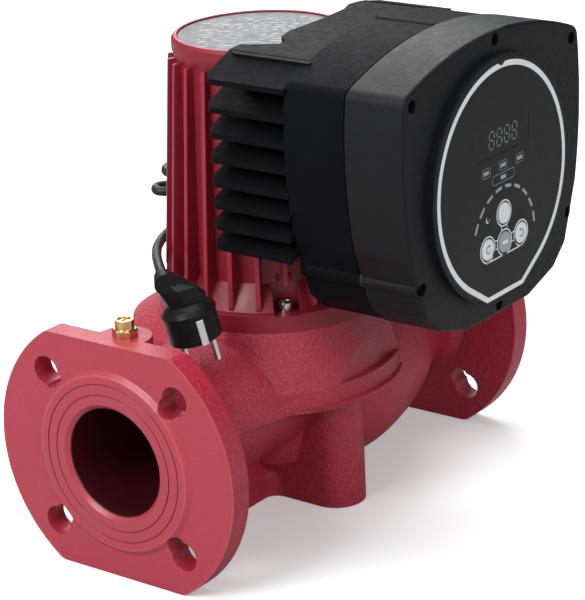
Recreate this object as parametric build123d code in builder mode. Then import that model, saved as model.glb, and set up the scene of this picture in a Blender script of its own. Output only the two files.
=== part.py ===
import math
import os

from build123d import *

os.makedirs("parts", exist_ok=True)

# Flanged wet-rotor circulator pump, DN65, 340 mm between the pipe flanges.
# Millimetres.  X runs along the pipe (outlet at -X, inlet at +X), the motor
# stands up along +Z and the control panel faces -Y.  Z = 0 is the floor.

# ---- pipe flanges -----------------------------------------------------------
face_to_face = 340.0
pipe_z = 78.0
flange_r = 92.5
flange_t = 15.5
raise_h = 2.5
raise_r = 61.0
raise_top_r = 57.5
flat_half = 78.0
bore_r = 35.5
bolt_pcd_big = 145.0
bolt_r_big = 9.5
# The inlet flange is drilled a little closer, so each flange keeps its own drill size.
bolt_r_inlet = 9.2
bolt_pcd_small = 130.0
bolt_r_small = 7.0

# ---- volute casing ----------------------------------------------------------
parting_z = 136.0
parting_r = 75.0
rim_z = 97.0
hump_z = 123.0
rim_r = 92.0
rim_y = 11.0
band_z = 83.0
leg_w = 38.0
leg_reach = 46.0
rib_w = 13.0
chamber_r = 54.0
chamber_z = 88.0

# ---- motor ------------------------------------------------------------------
motor_flange_top = 147.5
rib_count = 24
rib_t = 3.0
root_r_low = 59.0
root_r_high = 54.5
rib_r_low = 70.0
rib_r_high = 59.6
rib_low_z = 150.0
rib_high_z = 300.0
motor_top = 314.0
screw_pcd_r = 62.0
shaft_r = 6.0
rotor_r = 22.0
can_r = 23.6

# Suction bowl as (along the pipe, radius), from the middle of the casing to the flange.
suction_profile = (
    (0, 56),
    (18, 67),
    (40, 71.3),
    (64, 68.8),
    (80, 65.3),
    (95.7, 60),
    (112, 52.5),
    (130, 46),
    (143, 44.5),
)

# ---- control box ------------------------------------------------------------
case_back_y = -91.0
case_front_y = -134.0
cover_back_y = -136.0
cover_front_y = -175.5
panel_y = -180.0
panel_z = 241.3
panel_r = 77.0
plateau_drop = 76.3
foil_r = 75.2
foil_drop = 74.6
fin_heights = (310.0, 292.5, 276.5, 261.0, 246.0, 232.0, 218.5, 205.5)
fin_tip_x = 99.0
fin_root_x = 71.0
fin_rise = 11.5
fin_t = 3.4
fin_back_y = -32.0
# Back of the rear case as seen from above, hollowed round the motor.
rear_plan = (
    (-77, -95),
    (-77, -40),
    (-71, -31),
    (-58, -29),
    (-50, -43),
    (-46, -50),
    (-38, -49),
    (-30, -40),
    (-16, -36),
    (16, -36),
    (47, -33),
    (59, -28),
    (70, -30),
    (77, -40),
    (77, -95),
)
cover_holes = ((0, 327), (89.0, 308), (-89.0, 308), (83.5, 196), (-83.5, 196), (0, 160.5))
board_posts = ((-60, 186), (60, 186), (-66, 292), (66, 292))
button_spots = ((0, 220), (0, 201.5), (-19, 202), (19, 202))
button_r = 6.6
display_posts = ((-50, 196), (50, 196), (-50, 276), (50, 276))
button_travel = 0.6

# ---- mains cord -------------------------------------------------------------
cord_d = 6.5
gland_x = 75.0
gland_z = 190.0
# Flat hank behind the motor: bottom, left end and right end of each step.
hank_depth = 84.7
hank_thick = 22.0
hank_bottom = 176.0
hank_top = 209.2
hank_steps = (
    (176.0, -62.0, 32.0),
    (182.6, -80.0, 34.0),
    (189.2, -65.0, 34.0),
    (195.4, -74.0, 34.0),
    (202.2, -63.0, 34.0),
)
# Unit directions used to wrap the cord round the back of the motor.
back = (0.794, 0.607)
side = (0.607, -0.794)


def spot(depth, across, height):
    """A point given by its distance behind the shaft and across it."""
    x = back[0] * depth + side[0] * across
    y = back[1] * depth + side[1] * across
    return (x, y, height)


def box_edges(inset=0.0):
    """Outline of the control box in its XZ plane."""
    arch = 332.5 - inset
    shoulder = 97.0 - inset
    with BuildLine() as outline:
        ThreePointArc((-shoulder, arch - 19.0), (0, arch), (shoulder, arch - 19.0))
        ThreePointArc((shoulder, arch - 19.0), (100.0 - inset, 268), (94.0 - inset, 215))
        Line((94.0 - inset, 215), (80.5 - inset, 177.0))
        Line((80.5 - inset, 177.0), (66.0 - inset * 0.6, 164.0 + inset * 0.7))
        Line((66.0 - inset * 0.6, 164.0 + inset * 0.7), (35.0, 154.5 + inset))
        Line((35.0, 154.5 + inset), (-35.0, 154.5 + inset))
        Line((-35.0, 154.5 + inset), (-66.0 + inset * 0.6, 164.0 + inset * 0.7))
        Line((-66.0 + inset * 0.6, 164.0 + inset * 0.7), (-80.5 + inset, 177.0))
        Line((-80.5 + inset, 177.0), (-94.0 + inset, 215))
        ThreePointArc((-94.0 + inset, 215), (-100.0 + inset, 268), (-shoulder, arch - 19.0))
    return outline.edges()


# =============================================================================
# Pump housing: one iron casting with both pipe flanges and the foot
# =============================================================================
with BuildPart() as pump_housing:
    # Conical upper casing, a little off centre towards the back.
    with BuildSketch(Plane.XY.offset(rim_z)):
        with Locations((0, rim_y)):
            Circle(rim_r)
    with BuildSketch(Plane.XY.offset(parting_z)):
        Circle(parting_r)
    loft()
    with BuildSketch(Plane.XY.offset(band_z)):
        with Locations((0, rim_y)):
            Circle(rim_r)
    extrude(amount=rim_z - band_z)
    # Discharge side of the volute, humped towards the outlet.
    with BuildSketch(Plane.XY.offset(rim_z - 6)):
        with Locations((-6, 20)):
            Circle(78)
    with BuildSketch(Plane.XY.offset(hump_z)):
        with Locations((-6, 20)):
            Circle(74)
    loft()
    with BuildSketch(Plane.XY.offset(hump_z)):
        with Locations((-6, 20)):
            Circle(74)
    with BuildSketch(Plane.XY.offset(parting_z - 0.5)):
        with Locations((-2, 8)):
            Circle(66)
    loft()
    # Underside, drawn in to the bowl round the suction elbow.
    with BuildSketch(Plane.XZ):
        with BuildLine():
            Polyline((0, 86), (84, 86), (82, 82), (58, 72), (43, 63), (38, 46), (33, 28), (22, 16), (0, 13), (0, 86))
        make_face()
    revolve(axis=Axis.Z)
    # Suction bowl and inlet neck.
    with BuildSketch(Plane.XY.offset(pipe_z)):
        with BuildLine():
            Line((0, 0), (0, 56))
            Spline(*suction_profile)
            Spline((143, 44.5), (148.5, 46.5), (152, 51), tangents=((1, 0), (0.3, 1)))
            Line((152, 51), (156, 51))
            Line((156, 51), (156, 0))
            Line((156, 0), (0, 0))
        make_face()
    revolve(axis=Axis((0, 0, pipe_z), (1, 0, 0)))
    # Outlet neck: slimmer below the rim, so the rim stands out over the foot.
    with BuildSketch(Plane.XY.offset(pipe_z)):
        with BuildLine():
            Line((0, 0), (0, 43))
            Spline((0, 43), (-40, 43), (-70, 43), (-90, 43), (-110, 43.2), (-130, 43.7), (-143, 44.5))
            Spline((-143, 44.5), (-148.5, 46.5), (-152, 51), tangents=((-1, 0), (-0.3, 1)))
            Line((-152, 51), (-156, 51))
            Line((-156, 51), (-156, 0))
            Line((-156, 0), (0, 0))
        make_face()
    revolve(axis=Axis((0, 0, pipe_z), (1, 0, 0)))
    with BuildPart(mode=Mode.PRIVATE) as neck_top:
        with BuildSketch(Plane.XY.offset(pipe_z)):
            with BuildLine():
                Line((0, 0), (0, 54))
                Spline((0, 54), (-40, 57), (-70, 55), (-90, 50), (-110, 46), (-130, 44), (-140, 43.5))
                Line((-140, 43.5), (-140, 0))
                Line((-140, 0), (0, 0))
            make_face()
        revolve(axis=Axis((0, 0, pipe_z), (1, 0, 0)))
        with BuildSketch(Plane.XY.offset(band_z)):
            Rectangle(400, 200)
        extrude(amount=-100, mode=Mode.SUBTRACT)
    add(neck_top.part)
    # The necks are flattened on top so the motor clears them.
    with BuildSketch(Plane.XY.offset(parting_z - 9)):
        with Locations((116, 0)):
            Rectangle(72, 160)
    extrude(amount=60, mode=Mode.SUBTRACT)
    with BuildSketch(Plane.XY.offset(parting_z)):
        Rectangle(300, 200)
    extrude(amount=60, mode=Mode.SUBTRACT)
    # Pipe flanges with flats top and bottom.
    for sign in (-1, 1):
        near = sign * (face_to_face / 2 - raise_h - flange_t)
        with BuildSketch(Plane.YZ.offset(near)) as flange_face:
            with Locations((0, pipe_z)):
                Circle(flange_r)
                Rectangle(220, 2 * flat_half, mode=Mode.INTERSECT)
            fillet(flange_face.vertices(), 9)
        extrude(amount=sign * flange_t)
        with BuildSketch(Plane.XY.offset(pipe_z)):
            inner = sign * (face_to_face / 2 - raise_h)
            outer = sign * face_to_face / 2
            with BuildLine():
                Polyline((inner, 0), (inner, raise_r), (outer, raise_top_r), (outer, 0), (inner, 0))
            make_face()
        revolve(axis=Axis((0, 0, pipe_z), (1, 0, 0)))
    # Foot: two broad legs across the pipe and a thin web along it.
    with BuildSketch(Plane.XY) as foot:
        Rectangle(leg_w, 2 * leg_reach)
        with Locations((0, leg_reach), (0, -leg_reach)):
            Circle(leg_w / 2)
        with Locations((-6, 0)):
            Rectangle(104, rib_w)
        inner = foot.vertices().filter_by(lambda v: abs(abs(v.X) - leg_w / 2) < 0.1 and abs(v.Y) < 8)
        fillet(inner, 9)
    extrude(amount=band_z + 2)
    # Tapping boss behind the outlet flange.
    with BuildSketch(Plane.XY.offset(110)):
        with Locations((-150, 0)):
            Circle(17.5)
    extrude(amount=pipe_z + flat_half - 110)

    # --- waterways ---
    # Straight bores behind both faces.
    with BuildSketch(Plane.YZ.offset(70)):
        with Locations((0, pipe_z)):
            Circle(bore_r)
    extrude(amount=110, mode=Mode.SUBTRACT)
    with BuildSketch(Plane.YZ.offset(-108)):
        with Locations((0, pipe_z)):
            Circle(bore_r)
    extrude(amount=-80, mode=Mode.SUBTRACT)
    for sign in (-1, 1):
        with BuildSketch(Plane.XY.offset(pipe_z)):
            outer = sign * face_to_face / 2
            with BuildLine():
                Polyline(
                    (outer + sign, 0),
                    (outer + sign, bore_r + 4),
                    (outer - sign * 3, bore_r),
                    (outer - sign * 3, 0),
                    (outer + sign, 0),
                )
            make_face()
        revolve(axis=Axis((0, 0, pipe_z), (1, 0, 0)), mode=Mode.SUBTRACT)
    # Suction elbow passing below the impeller, then up through its eye.
    with Locations((72, 0, pipe_z)):
        Sphere(bore_r, mode=Mode.SUBTRACT)
    elbow = Plane(origin=(0, 0, 48), z_dir=(72, 0, 30))
    with BuildSketch(elbow):
        Circle(29)
    with BuildSketch(elbow.offset(78)):
        Circle(bore_r - 0.4)
    loft(mode=Mode.SUBTRACT)
    with Locations((0, 0, 48)):
        Sphere(29, mode=Mode.SUBTRACT)
    with BuildSketch(Plane.XY.offset(48)):
        Circle(25)
    extrude(amount=60, mode=Mode.SUBTRACT)
    # Impeller chamber, volute channel and the outlet duct.
    with BuildSketch(Plane.XY.offset(chamber_z)):
        Circle(chamber_r)
    extrude(amount=60, mode=Mode.SUBTRACT)
    with BuildSketch(Plane.XY.offset(94)):
        with Locations((-5, 14)):
            Circle(66)
    with BuildSketch(Plane.XY.offset(120)):
        with Locations((-3, 10)):
            Circle(58)
    loft(mode=Mode.SUBTRACT)
    duct = Plane(origin=(-108, 0, pipe_z), z_dir=(54, 22, 28))
    with BuildSketch(duct):
        Circle(bore_r - 1)
    with BuildSketch(duct.offset(52)):
        Circle(22)
    loft(mode=Mode.SUBTRACT)
    with Locations((-108, 0, pipe_z)):
        Sphere(bore_r, mode=Mode.SUBTRACT)
    # Seat for the neck ring, register for the bearing plate and its O-ring.
    with BuildSketch(Plane.XY.offset(80)):
        Circle(30)
    extrude(amount=20, mode=Mode.SUBTRACT)
    with BuildSketch(Plane.XY.offset(parting_z - 7)):
        Circle(57)
    extrude(amount=20, mode=Mode.SUBTRACT)
    # Tapped holes for the four motor screws.
    with BuildSketch(Plane.XY.offset(parting_z)):
        with PolarLocations(screw_pcd_r, 4, start_angle=45):
            Circle(3.05)
    extrude(amount=-18, mode=Mode.SUBTRACT)
    # Combined bolt holes: two bolt circles run into each other.
    with BuildSketch(Plane.YZ.offset(-200)):
        with Locations((0, pipe_z)):
            with PolarLocations(bolt_pcd_big / 2, 4, start_angle=45):
                Circle(bolt_r_big)
            with PolarLocations(bolt_pcd_small / 2, 4, start_angle=45):
                Circle(bolt_r_small)
    extrude(amount=60, mode=Mode.SUBTRACT)
    with BuildSketch(Plane.YZ.offset(200)):
        with Locations((0, pipe_z)):
            with PolarLocations(bolt_pcd_big / 2, 4, start_angle=45):
                Circle(bolt_r_inlet)
            with PolarLocations(bolt_pcd_small / 2, 4, start_angle=45):
                Circle(bolt_r_small)
    extrude(amount=-60, mode=Mode.SUBTRACT)
    # Fine sealing grooves in both raised faces.
    for face_x in (-face_to_face / 2, face_to_face / 2 - 0.7):
        with BuildSketch(Plane.YZ.offset(face_x)):
            with Locations((0, pipe_z)):
                Circle(52.4)
                Circle(51.6, mode=Mode.SUBTRACT)
                Circle(45.4)
                Circle(44.6, mode=Mode.SUBTRACT)
        extrude(amount=0.7, mode=Mode.SUBTRACT)
    # Tapped hole for the vent fitting.
    with BuildSketch(Plane.XY.offset(pipe_z + flat_half)):
        with Locations((-149, 0)):
            Circle(5)
    extrude(amount=-60, mode=Mode.SUBTRACT)
    # Cast recess in the cone below the control box.
    with BuildSketch(Plane.XY.offset(rim_z + 1)):
        with BuildLine():
            Spline((-33, -74.9), (-15, -76.7), (0, -76.9), (13, -75.0), (23, -72.4), (38, -72.0))
            Polyline((38, -72.0), (38, -100), (-33, -100), (-33, -74.9))
        make_face()
    extrude(amount=24, mode=Mode.SUBTRACT)
pump_housing.part.label = "pump_housing"
export_step(pump_housing.part, "parts/pump_housing.step")
print("housing", pump_housing.part.is_valid, len(pump_housing.part.solids()))

# =============================================================================
# Hydraulics
# =============================================================================
with BuildPart() as neck_ring:
    with BuildSketch(Plane.XY.offset(81)):
        Circle(30)
        Circle(27.08, mode=Mode.SUBTRACT)
    extrude(amount=9)
neck_ring.part.label = "neck_ring"
export_step(neck_ring.part, "parts/neck_ring.step")

with BuildPart() as impeller:
    # Suction skirt, front shroud, hub and back shroud.
    with BuildSketch(Plane.XZ):
        with BuildLine():
            Polyline((24, 82), (27, 82), (27, 94), (50, 99), (50, 101), (26.5, 96.5), (24, 94), (24, 82))
        make_face()
        with BuildLine():
            Polyline(
                (shaft_r, 96),
                (10, 96),
                (14, 110),
                (50, 114),
                (50, 116.5),
                (shaft_r, 116.5),
                (shaft_r, 96),
            )
        make_face()
    revolve(axis=Axis.Z)
    # Backward-curved vanes between the shrouds.
    for k in range(6):
        turn = 60.0 * k
        with BuildSketch(Plane.XY.offset(100)):
            with BuildLine(Plane.XY.rotated((0, 0, turn))):
                vane = Spline((16, 0), (27, 9), (36, 22), (40.5, 28.5))
            trace(line_width=2.4)
        extrude(amount=11.5)
    with BuildSketch(Plane.XY.offset(96.4)):
        Circle(27.5)
        Circle(26.0, mode=Mode.SUBTRACT)
    extrude(amount=2)
impeller.part.label = "impeller"
export_step(impeller.part, "parts/impeller.step")
print("impeller", len(impeller.part.solids()))

with BuildPart() as impeller_nut:
    with BuildSketch(Plane.XY.offset(89.5)):
        RegularPolygon(8, 6)
    extrude(amount=6.5)
    with BuildSketch(Plane.XY.offset(89.5)):
        Circle(shaft_r - 1)
    extrude(amount=6.5, mode=Mode.SUBTRACT)
impeller_nut.part.label = "impeller_nut"
export_step(impeller_nut.part, "parts/impeller_nut.step")

with BuildPart() as shaft:
    with BuildSketch(Plane.XY.offset(96)):
        Circle(shaft_r)
    extrude(amount=190)
    with BuildSketch(Plane.XY.offset(88)):
        Circle(shaft_r - 1)
    extrude(amount=8)
shaft.part.label = "shaft"
export_step(shaft.part, "parts/shaft.step")

with BuildPart() as rotor_core:
    with BuildSketch(Plane.XY.offset(176)):
        Circle(rotor_r)
        Circle(shaft_r, mode=Mode.SUBTRACT)
    extrude(amount=86)
    chamfer(rotor_core.edges().filter_by(GeomType.CIRCLE).filter_by(lambda e: e.radius > 20), 1.2)
rotor_core.part.label = "rotor_core"
export_step(rotor_core.part, "parts/rotor_core.step")

with BuildPart() as thrust_ring:
    with BuildSketch(Plane.XY.offset(158)):
        Circle(13)
        Circle(shaft_r, mode=Mode.SUBTRACT)
    extrude(amount=5)
thrust_ring.part.label = "thrust_ring"
export_step(thrust_ring.part, "parts/thrust_ring.step")

# =============================================================================
# Motor
# =============================================================================
with BuildPart() as bearing_plate:
    with BuildSketch(Plane.XZ):
        with BuildLine():
            Polyline(
                (12, 119.5),
                (30, 119.5),
                (36, 126),
                (53.5, 129.2),
                (56.9, 129.2),
                (56.9, 135.9),
                (40, 135.9),
                (30, 133.5),
                (16.5, 133.5),
                (16.5, 152),
                (12, 152),
                (12, 119.5),
            )
        make_face()
    revolve(axis=Axis.Z)
    # O-ring land under the rim.
    with BuildSketch(Plane.XY.offset(129)):
        Circle(56.9)
        Circle(54.5, mode=Mode.SUBTRACT)
    extrude(amount=2.6, mode=Mode.SUBTRACT)
bearing_plate.part.label = "bearing_plate"
export_step(bearing_plate.part, "parts/bearing_plate.step")

with BuildPart() as housing_oring:
    with BuildSketch(Plane.XY.offset(129.1)):
        Circle(56.6)
        Circle(54.6, mode=Mode.SUBTRACT)
    extrude(amount=2.4)
housing_oring.part.label = "housing_oring"
export_step(housing_oring.part, "parts/housing_oring.step")

with BuildPart() as lower_bearing:
    with BuildSketch(Plane.XY.offset(122)):
        Circle(12)
        Circle(shaft_r + 0.04, mode=Mode.SUBTRACT)
    extrude(amount=30)
lower_bearing.part.label = "lower_bearing"
export_step(lower_bearing.part, "parts/lower_bearing.step")

with BuildPart() as thrust_bearing:
    with BuildSketch(Plane.XY.offset(152)):
        Circle(14)
        Circle(shaft_r + 0.5, mode=Mode.SUBTRACT)
    extrude(amount=5.9)
thrust_bearing.part.label = "thrust_bearing"
export_step(thrust_bearing.part, "parts/thrust_bearing.step")

with BuildPart() as rotor_can:
    # Thin drawn sleeve, flanged at the foot and closed over the top bearing.
    with BuildSketch(Plane.XZ):
        with BuildLine():
            Polyline(
                (can_r, 136.8),
                (49, 136.8),
                (49, 135.9),
                (can_r - 0.7, 135.9),
                (can_r - 0.7, 289.3),
                (0, 289.3),
                (0, 290),
                (can_r, 290),
                (can_r, 136.8),
            )
        make_face()
    revolve(axis=Axis.Z)
rotor_can.part.label = "rotor_can"
export_step(rotor_can.part, "parts/rotor_can.step")

with BuildPart() as upper_bearing:
    with BuildSketch(Plane.XY.offset(272)):
        Circle(can_r - 0.7)
        Circle(shaft_r + 0.04, mode=Mode.SUBTRACT)
    extrude(amount=12)
upper_bearing.part.label = "upper_bearing"
export_step(upper_bearing.part, "parts/upper_bearing.step")

with BuildPart() as stator_core:
    with BuildSketch(Plane.XY.offset(174)):
        Circle(49)
        Circle(can_r, mode=Mode.SUBTRACT)
        # Winding slots opening towards the rotor.
        with PolarLocations(31, 12):
            Rectangle(10, 5, mode=Mode.SUBTRACT)
    extrude(amount=90)
stator_core.part.label = "stator_core"
export_step(stator_core.part, "parts/stator_core.step")

with BuildPart() as stator_windings:
    for start in (160.0, 264.0):
        with BuildSketch(Plane.XY.offset(start)):
            Circle(42)
            Circle(25.5, mode=Mode.SUBTRACT)
        extrude(amount=14)
    with BuildSketch(Plane.XY.offset(174)):
        with PolarLocations(31, 12):
            Rectangle(9.2, 4.4)
    extrude(amount=90)
stator_windings.part.label = "stator_windings"
export_step(stator_windings.part, "parts/stator_windings.step")
print("windings", len(stator_windings.part.solids()))

with BuildPart() as motor_housing:
    # Ribbed barrel with its foot flange and domed shoulder.
    with BuildSketch(Plane.XZ):
        with BuildLine():
            Polyline(
                (0, parting_z),
                (parting_r, parting_z),
                (parting_r - 1.2, motor_flange_top),
                (70.0, motor_flange_top + 0.6),
                (root_r_low, 164),
                (root_r_high, 299),
                (56.6, 306),
                (56.6, 312),
            )
            Line((56.6, 312), (54.8, motor_top))
            Line((54.8, motor_top), (52.8, motor_top))
            Line((52.8, motor_top), (52.8, motor_top - 1.4))
            Line((52.8, motor_top - 1.4), (0, motor_top - 1.4))
            Line((0, motor_top - 1.4), (0, parting_z))
        make_face()
    revolve(axis=Axis.Z)
    # One tapered cooling rib, repeated round the barrel.
    for k in range(rib_count):
        with BuildSketch(Plane.XZ.rotated((0, 0, 360.0 / rib_count * k))) as rib_side:
            with BuildLine():
                Polyline(
                    (50, 142),
                    (66.5, 142),
                    (rib_r_low, rib_low_z),
                    (rib_r_high, rib_high_z),
                    (50, rib_high_z + 1),
                    (50, 142),
                )
            make_face()
            fillet(rib_side.vertices().sort_by(Axis((0, 0, 0), (0.3, 0, 1)))[-1:], 4)
        extrude(amount=rib_t / 2, both=True)
    # Screw pockets in the foot flange: the rib there is cut short.
    with BuildSketch(Plane.XY.offset(motor_flange_top - 1)):
        with PolarLocations(screw_pcd_r + 5, 4, start_angle=45):
            Rectangle(22, 17)
    extrude(amount=18, mode=Mode.SUBTRACT)
    with BuildSketch(Plane.XY.offset(motor_flange_top - 1)):
        with PolarLocations(screw_pcd_r, 4, start_angle=45):
            Circle(6)
    extrude(amount=24, mode=Mode.SUBTRACT)
    with BuildSketch(Plane.XY.offset(parting_z)):
        with PolarLocations(screw_pcd_r, 4, start_angle=45):
            Circle(3.4)
    extrude(amount=20, mode=Mode.SUBTRACT)
    # Flat terminal face towards the control box.
    with BuildSketch(Plane.XY.offset(168)):
        with Locations((0, -60)):
            Rectangle(62, 24)
    extrude(amount=118)
    # Bore for the stator and the winding heads.
    with BuildSketch(Plane.XY.offset(parting_z)):
        Circle(49.02)
    extrude(amount=168, mode=Mode.SUBTRACT)
    # Cable duct from the windings to the box.
    with BuildSketch(Plane.XZ.offset(40)):
        with Locations((0, 276)):
            Rectangle(26, 14)
    extrude(amount=40, mode=Mode.SUBTRACT)
    # Blind holes for the box fixing screws.
    with BuildSketch(Plane.XZ.offset(72)):
        with Locations((-22, 182), (22, 182), (-22, 250), (22, 250)):
            Circle(2.05)
    extrude(amount=-12, mode=Mode.SUBTRACT)
motor_housing.part.label = "motor_housing"
export_step(motor_housing.part, "parts/motor_housing.step")
print("motor", motor_housing.part.is_valid, len(motor_housing.part.solids()))

with BuildPart() as motor_screws:
    with BuildSketch(Plane.XY.offset(motor_flange_top - 1)):
        with PolarLocations(screw_pcd_r, 4, start_angle=45):
            Circle(5)
    extrude(amount=6)
    with BuildSketch(Plane.XY.offset(motor_flange_top - 1)):
        with PolarLocations(screw_pcd_r, 4, start_angle=45):
            Circle(3)
    extrude(amount=-24)
    with BuildSketch(Plane.XY.offset(motor_flange_top + 5)):
        with PolarLocations(screw_pcd_r, 4, start_angle=45):
            RegularPolygon(2.9, 6)
    extrude(amount=-3.2, mode=Mode.SUBTRACT)
motor_screws.part.label = "motor_screws"
export_step(motor_screws.part, "parts/motor_screws.step")

with BuildPart() as type_plate:
    with BuildSketch(Plane.XY.offset(motor_top - 1.4)):
        Circle(52.2)
    extrude(amount=0.5)
type_plate.part.label = "type_plate"
export_step(type_plate.part, "parts/type_plate.step")

# =============================================================================
# Vent fitting on the outlet flange
# =============================================================================
vent_top = pipe_z + flat_half
with BuildPart() as vent_fitting:
    with BuildSketch(Plane.XY.offset(vent_top)):
        with Locations((-149, 0)):
            RegularPolygon(8.1, 6)
    extrude(amount=5)
    chamfer(vent_fitting.faces().sort_by(Axis.Z)[-1].edges(), 0.6)
    with BuildSketch(Plane.XY.offset(vent_top)):
        with Locations((-149, 0)):
            Circle(4.95)
    extrude(amount=-14)
    with BuildSketch(Plane.XY.offset(vent_top + 5)):
        with Locations((-149, 0)):
            Circle(6)
    extrude(amount=6)
    with BuildSketch(Plane.XY.offset(vent_top + 11)):
        with Locations((-149, 0)):
            Circle(4.2)
    extrude(amount=-9, mode=Mode.SUBTRACT)
    with BuildSketch(Plane.XY.offset(vent_top + 11)):
        with Locations((-149, 0)):
            Circle(1.6)
    extrude(amount=-25, mode=Mode.SUBTRACT)
vent_fitting.part.label = "vent_fitting"
export_step(vent_fitting.part, "parts/vent_fitting.step")

with BuildPart() as vent_screw:
    with BuildSketch(Plane.XY.offset(vent_top + 2.1)):
        with Locations((-149, 0)):
            Circle(4.12)
    extrude(amount=8)
    with BuildSketch(Plane.XY.offset(vent_top + 10.1)):
        with Locations((-149, 0)):
            Rectangle(8.6, 1.3)
    extrude(amount=-2, mode=Mode.SUBTRACT)
vent_screw.part.label = "vent_screw"
export_step(vent_screw.part, "parts/vent_screw.step")

# =============================================================================
# Control box
# =============================================================================
with BuildPart() as rear_case:
    with BuildSketch(Plane.XZ.offset(-case_back_y)) as case_plan:
        make_face(box_edges(0.8))
        fillet(case_plan.vertices(), 7)
    extrude(amount=case_back_y - case_front_y)
    with BuildSketch(Plane.XZ.offset(-case_back_y + 4)):
        make_face(box_edges(4.5))
    extrude(amount=60, mode=Mode.SUBTRACT)
    # Posts for the cover screws and for the power board.
    with BuildSketch(Plane.XZ.offset(-case_back_y)):
        with Locations(*cover_holes):
            Circle(5.6)
    extrude(amount=case_back_y - case_front_y)
    with BuildSketch(Plane.XZ.offset(-case_back_y)):
        with Locations(*board_posts):
            Circle(3.6)
    extrude(amount=16)
    # Top plate reaching back over the edge of the motor.
    with BuildSketch(Plane.XY.offset(317.4)) as plate_plan:
        with BuildLine():
            Polyline(*rear_plan, close=True)
        make_face()
    extrude(amount=3.6)
    # Cheeks beside the motor carrying the fins.
    for sign in (-1, 1):
        with BuildSketch(Plane.XY.offset(207)):
            with Locations((sign * (fin_root_x + 2), -68)):
                Rectangle(4, 50)
        extrude(amount=112)
        # Each fin droops outward from its cheek.
        for height in fin_heights:
            top = height + fin_rise
            with BuildSketch(Plane.XZ.offset(-fin_back_y)):
                with BuildLine():
                    Polyline(
                        (sign * fin_root_x, top),
                        (sign * fin_tip_x, height),
                        (sign * fin_tip_x, height - fin_t),
                        (sign * fin_root_x, top - fin_t),
                        (sign * fin_root_x, top),
                    )
                make_face()
            extrude(amount=60)
        # Rounded outer corners of the whole stack of fins.
        with BuildSketch(Plane.XY.offset(195)):
            with Locations((sign * (fin_tip_x - 3), fin_back_y - 3)):
                Rectangle(7, 7)
            with Locations((sign * (fin_tip_x - 6), fin_back_y - 6)):
                Circle(6, mode=Mode.SUBTRACT)
        extrude(amount=140, mode=Mode.SUBTRACT)
    # Saddle block that bolts on to the flat face of the motor.
    with BuildSketch(Plane.XZ.offset(72.1)):
        with Locations((0, 226)):
            Rectangle(60, 112)
    extrude(amount=21)
    with BuildSketch(Plane.XZ.offset(72)):
        with Locations((0, 210)):
            Rectangle(48, 40)
    extrude(amount=17, mode=Mode.SUBTRACT)
    # Duct for the motor leads through saddle and back wall.
    with BuildSketch(Plane.XZ.offset(70)):
        with Locations((0, 276)):
            Rectangle(26, 9)
    extrude(amount=30, mode=Mode.SUBTRACT)
    # Screw holes: motor fixings, cover screws, board screws and cable gland.
    with BuildSketch(Plane.XZ.offset(70)):
        with Locations((-22, 182), (22, 182), (-22, 250), (22, 250)):
            Circle(2.2)
    extrude(amount=30, mode=Mode.SUBTRACT)
    with BuildSketch(Plane.XZ.offset(-case_front_y)):
        with Locations(*cover_holes):
            Circle(2.05)
    extrude(amount=-20, mode=Mode.SUBTRACT)
    with BuildSketch(Plane.XZ.offset(-case_back_y + 16)):
        with Locations(*board_posts):
            Circle(1.55)
    extrude(amount=-9, mode=Mode.SUBTRACT)
    with BuildSketch(Plane.XZ.offset(-case_back_y)):
        with Locations((gland_x, gland_z)):
            Circle(8.05)
    extrude(amount=4, mode=Mode.SUBTRACT)
rear_case.part.label = "rear_case"
export_step(rear_case.part, "parts/rear_case.step")
print("rear case", rear_case.part.is_valid, len(rear_case.part.solids()))

with BuildPart() as case_screws:
    with BuildSketch(Plane.XZ.offset(95)):
        with Locations((-22, 182), (22, 182), (-22, 250), (22, 250)):
            Circle(3.8)
    extrude(amount=3.5)
    with BuildSketch(Plane.XZ.offset(95)):
        with Locations((-22, 182), (22, 182), (-22, 250), (22, 250)):
            Circle(2)
    extrude(amount=-33)
case_screws.part.label = "case_screws"
export_step(case_screws.part, "parts/case_screws.step")

with BuildPart() as cover_gasket:
    with BuildSketch(Plane.XZ.offset(-case_front_y)) as gasket_plan:
        make_face(box_edges(1.6))
        fillet(gasket_plan.vertices(), 6)
        offset(amount=-2.6, kind=Kind.INTERSECTION, mode=Mode.SUBTRACT)
        with Locations(*cover_holes):
            Circle(5.2)
        with Locations(*cover_holes):
            Circle(2.4, mode=Mode.SUBTRACT)
    extrude(amount=case_front_y - cover_back_y)
cover_gasket.part.label = "cover_gasket"
export_step(cover_gasket.part, "parts/cover_gasket.step")
print("gasket", cover_gasket.part.is_valid, len(cover_gasket.part.solids()))

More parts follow.
